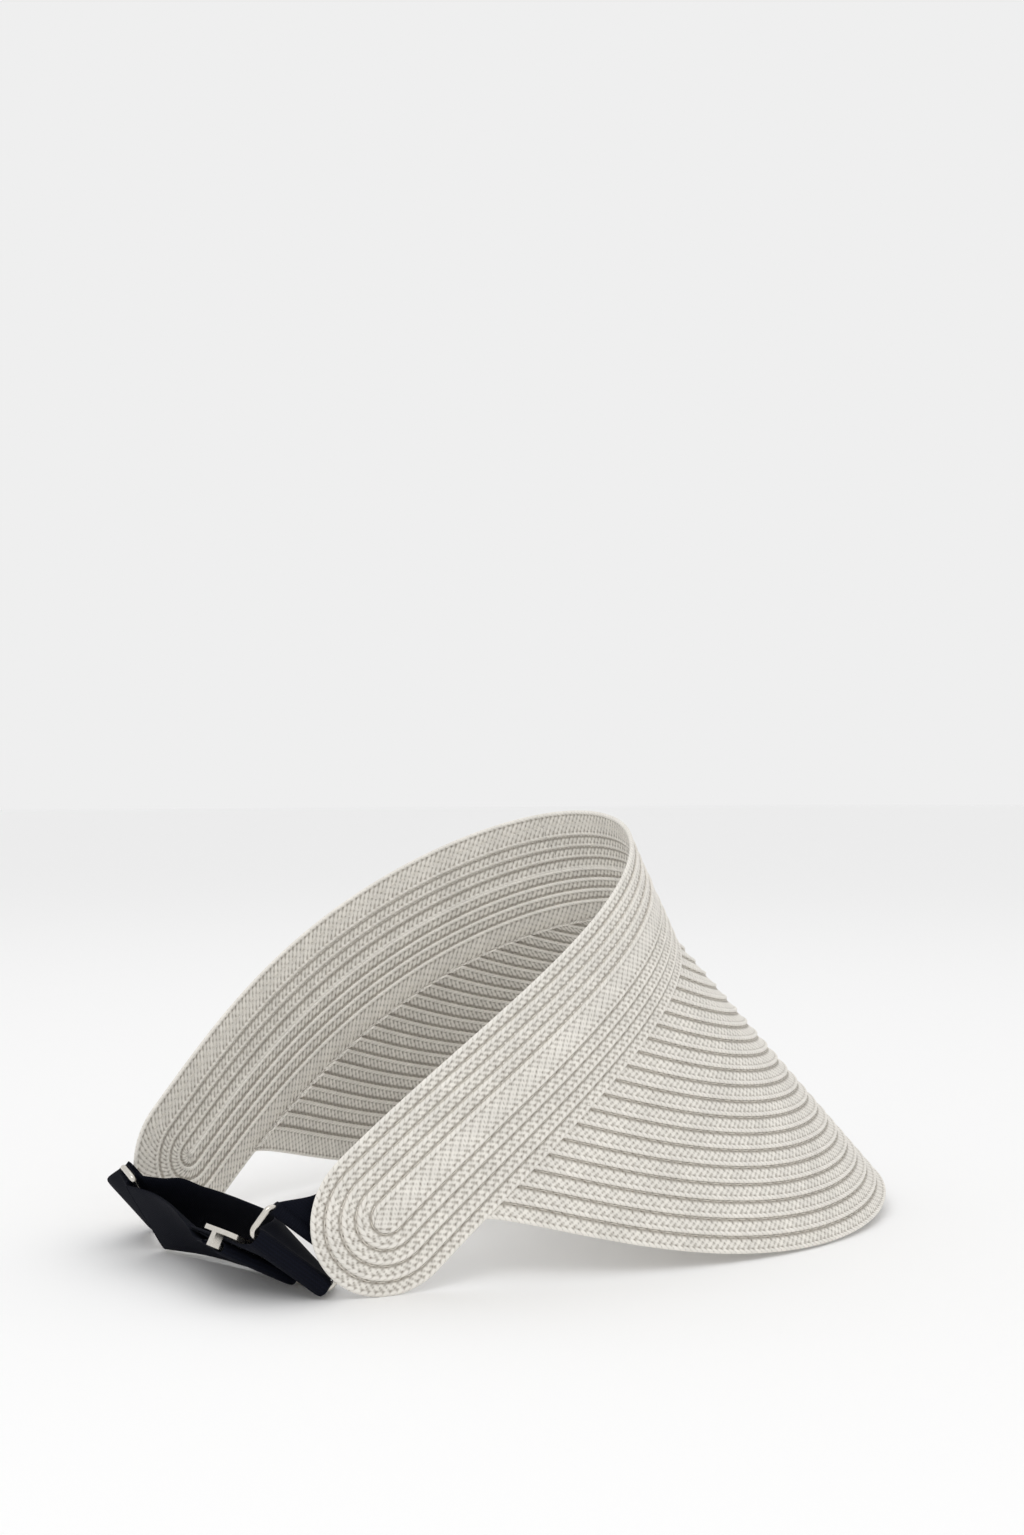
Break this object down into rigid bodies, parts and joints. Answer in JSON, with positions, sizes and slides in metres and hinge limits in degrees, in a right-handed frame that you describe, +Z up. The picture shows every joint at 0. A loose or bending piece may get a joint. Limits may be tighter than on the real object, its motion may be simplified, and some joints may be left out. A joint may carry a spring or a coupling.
{
  "type": "sun visor",
  "caption": "Wide-brimmed braided-straw sun visor with an open crown, a tall curved headband and an adjustable elastic strap joined by rings and a three-bar slider.",
  "frame": {"origin": "middle of the bounding box, on the surface the visor stands on", "axes": "+X forwards over the brim, +Y to the wearer's left, +Z up, as the visor stands on the brim's edge and the headband's two round ends"},
  "size_m": [0.2762, 0.1918, 0.1392],
  "materials": {
    "straw_braid": "matte braided paper straw",
    "sewing_thread": "matte thread",
    "elastic_webbing": "matte woven elastic",
    "plated_wire": "polished nickel plate"
  },
  "bodies": {
    "visor": {"headband_core": "straw_braid", "headband_round_1": "straw_braid", "headband_round_2": "straw_braid", "headband_round_3": "straw_braid", "headband_round_4": "straw_braid", "brim_row_01": "straw_braid", "brim_row_02": "straw_braid", "brim_row_03": "straw_braid", "brim_row_04": "straw_braid", "brim_row_05": "straw_braid", "brim_row_06": "straw_braid", "brim_row_07": "straw_braid", "brim_row_08": "straw_braid", "brim_row_09": "straw_braid", "brim_row_10": "straw_braid", "brim_row_11": "straw_braid", "brim_row_12": "straw_braid", "brim_row_13": "straw_braid", "brim_row_14": "straw_braid", "brim_row_15": "straw_braid", "brim_row_16": "straw_braid", "brim_row_17": "straw_braid", "brim_row_18": "straw_braid", "brim_row_19": "straw_braid", "brim_row_20": "straw_braid", "brim_row_21": "straw_braid", "brim_row_22": "straw_braid", "brim_row_23": "straw_braid", "headband_stitching": "sewing_thread", "brim_stitching": "sewing_thread", "joining_stitching": "sewing_thread", "far_tab": "elastic_webbing", "near_tab": "elastic_webbing", "strap": "elastic_webbing", "strap_outer_run": "elastic_webbing"},
    "far_ring": {"far_ring": "plated_wire"},
    "near_ring": {"near_ring": "plated_wire"},
    "slider": {"slider": "plated_wire", "strap_sewn_loop": "elastic_webbing"}
  },
  "joints": [
    {"name": "slider_slide", "type": "slide", "parent": "visor", "child": "slider", "axis": [0, 1, 0], "range_m": [0, 0.01], "deforming": ["strap_outer_run"]},
    {"name": "far_ring_swing", "type": "hinge", "parent": "visor", "child": "far_ring", "pos_m": [-0.1245, 0.03291, 0.01567], "axis": [-0.5484, -0.1197, 0.8276], "range_deg": [-5, 5]},
    {"name": "near_ring_swing", "type": "hinge", "parent": "visor", "child": "near_ring", "pos_m": [-0.11409, -0.05334, 0.01896], "axis": [-0.7659, 0.1651, 0.6214], "range_deg": [-5, 5]}
  ]
}
